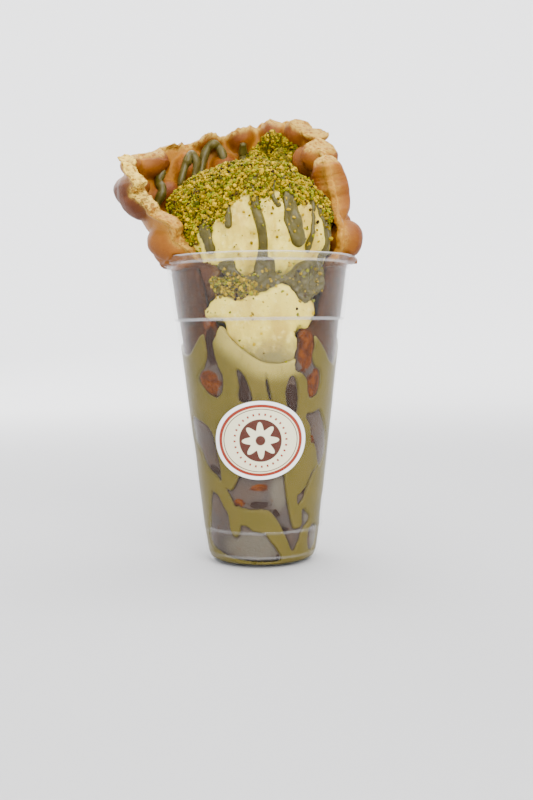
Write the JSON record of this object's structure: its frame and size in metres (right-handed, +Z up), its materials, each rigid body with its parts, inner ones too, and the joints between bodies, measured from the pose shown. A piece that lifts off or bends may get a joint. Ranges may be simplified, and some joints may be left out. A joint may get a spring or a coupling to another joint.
{
  "type": "bubble waffle cup dessert",
  "caption": "Egg-style bubble waffle rolled into a cone in a tall clear tumbler, filled with ice cream, drizzled with nut cream and topped with crushed nuts.",
  "frame": {"origin": "centre of the tumbler's base, on the surface it stands on", "axes": "+Z up along the tumbler's axis, -Y towards the front where the waffle opens and the label sits, +X to the right seen from the front"},
  "size_m": [0.1264, 0.1023, 0.23],
  "materials": {
    "clear_plastic": "clear gloss",
    "label_paper": "satin",
    "nut_cream": "thick nut cream, satin gloss",
    "waffle_crust": "baked crust, low sheen",
    "ice_cream": "soft ice cream, low sheen",
    "crushed_nuts": "crushed pistachio, matte"
  },
  "bodies": {
    "root": {"cup": "clear_plastic", "label": "label_paper", "sauce": "nut_cream", "waffle": "waffle_crust", "scoop": "ice_cream", "filling": "ice_cream"}
  },
  "joints": []
}
